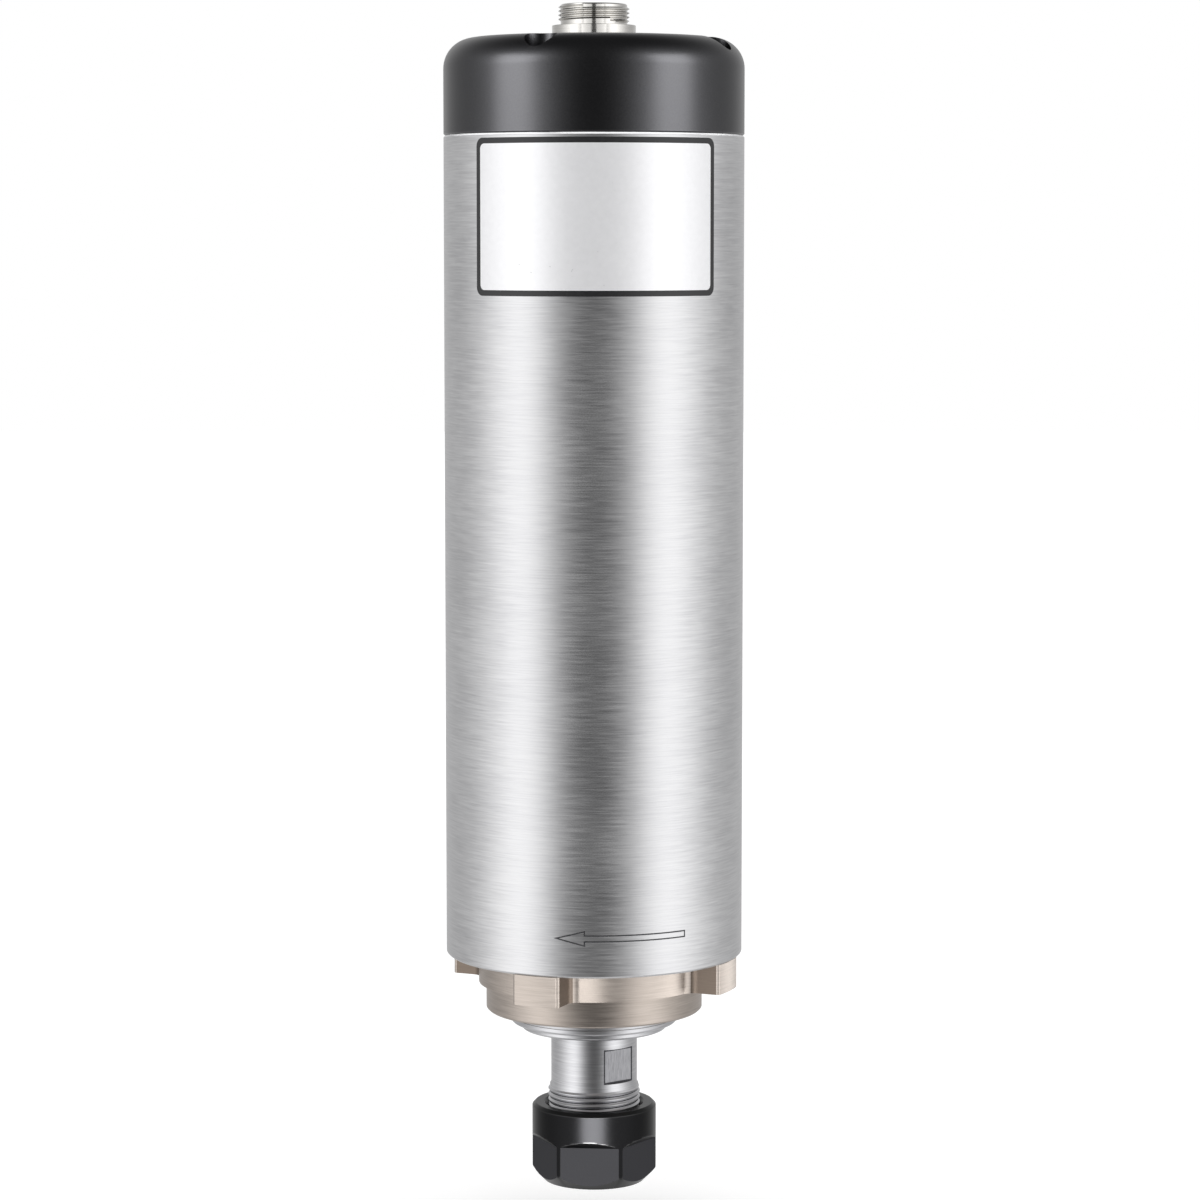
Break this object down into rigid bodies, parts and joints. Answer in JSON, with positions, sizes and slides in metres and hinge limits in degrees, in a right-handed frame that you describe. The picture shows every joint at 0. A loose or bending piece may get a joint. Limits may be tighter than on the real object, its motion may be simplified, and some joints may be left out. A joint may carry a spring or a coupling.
{
  "type": "motor spindle",
  "caption": "Round electric motor spindle with a steel clamping body, eared front flange, collet nose with hex nut, and a domed rear cap with a threaded connector.",
  "frame": {"origin": "on the shaft's axis at the lower edge of the clamped shell", "axes": "+Z along the shaft from the collet towards the connector; -Y faces the label side"},
  "size_m": [0.08, 0.08, 0.3166],
  "materials": {
    "shell_steel": "brushed stainless steel",
    "body_aluminium": "extruded and turned",
    "flange_nickel": "turned, warm nickel tone",
    "cap_black": "black anodised, satin",
    "nut_black": "black oxide",
    "turned_steel": "fine turned",
    "bearing_steel": "ground",
    "spring_steel": "oiled",
    "stack_steel": "laminated",
    "copper": "enamelled copper wire",
    "cast_aluminium": "cast",
    "fan_nylon": "moulded",
    "connector_nickel": "nickel plated",
    "connector_black": "moulded",
    "contact_brass": "plated",
    "seal_rubber": "moulded",
    "lead_sleeve": "silicone sleeve",
    "screw_black": "black oxide",
    "screw_zinc": "zinc plated"
  },
  "bodies": {
    "housing": {"outer_shell": "shell_steel", "cooling_body": "body_aluminium", "front_flange": "flange_nickel", "bearing_cover": "flange_nickel", "front_outer_rings": "bearing_steel", "rear_outer_rings": "bearing_steel", "stator_core": "stack_steel", "stator_windings": "copper", "rear_bearing_seat": "body_aluminium", "rear_retaining_ring": "spring_steel", "preload_spring": "spring_steel", "rear_cap": "cap_black", "connector_gasket": "seal_rubber", "connector_shell": "connector_nickel", "connector_insert": "connector_black", "connector_pins": "contact_brass", "connector_nut": "connector_nickel", "motor_leads": "lead_sleeve", "cap_screws": "screw_black", "flange_screws": "screw_black", "cover_screws": "screw_black"},
    "spindle": {"shaft": "turned_steel", "rotor_core": "stack_steel", "rotor_end_rings": "cast_aluminium", "front_inner_rings": "bearing_steel", "rear_inner_rings": "bearing_steel", "dust_cap": "turned_steel", "rear_lock_nut": "turned_steel", "fan": "fan_nylon", "fan_washer": "screw_zinc", "fan_screw": "screw_zinc"},
    "front_balls": {"front_ball_cages": "bearing_steel"},
    "rear_balls": {"rear_ball_cages": "bearing_steel"},
    "collet": {"collet": "turned_steel"},
    "nut": {"collet_nut": "nut_black"}
  },
  "joints": [
    {"name": "spindle_spin", "type": "hinge", "parent": "housing", "child": "spindle", "pos_m": [0, 0, 0], "axis": [0, 0, 1], "continuous": true},
    {"name": "front_ball_orbit", "type": "hinge", "parent": "housing", "child": "front_balls", "pos_m": [0, 0, 0], "axis": [0, 0, 1], "continuous": true},
    {"name": "rear_ball_orbit", "type": "hinge", "parent": "housing", "child": "rear_balls", "pos_m": [0, 0, 0.2], "axis": [0, 0, 1], "continuous": true},
    {"name": "collet_draw", "type": "slide", "parent": "spindle", "child": "collet", "axis": [0, 0, -1], "range_m": [0, 0.009]},
    {"name": "nut_turn", "type": "hinge", "parent": "collet", "child": "nut", "pos_m": [0, 0, -0.05], "axis": [0, 0, -1], "range_deg": [0, 2161]}
  ],
  "couplings": [
    {"joint": "front_ball_orbit", "follows": "spindle_spin", "ratio": 0.414},
    {"joint": "rear_ball_orbit", "follows": "spindle_spin", "ratio": 0.401},
    {"joint": "nut_turn", "follows": "collet_draw", "rad_per_m": 4188.8}
  ]
}
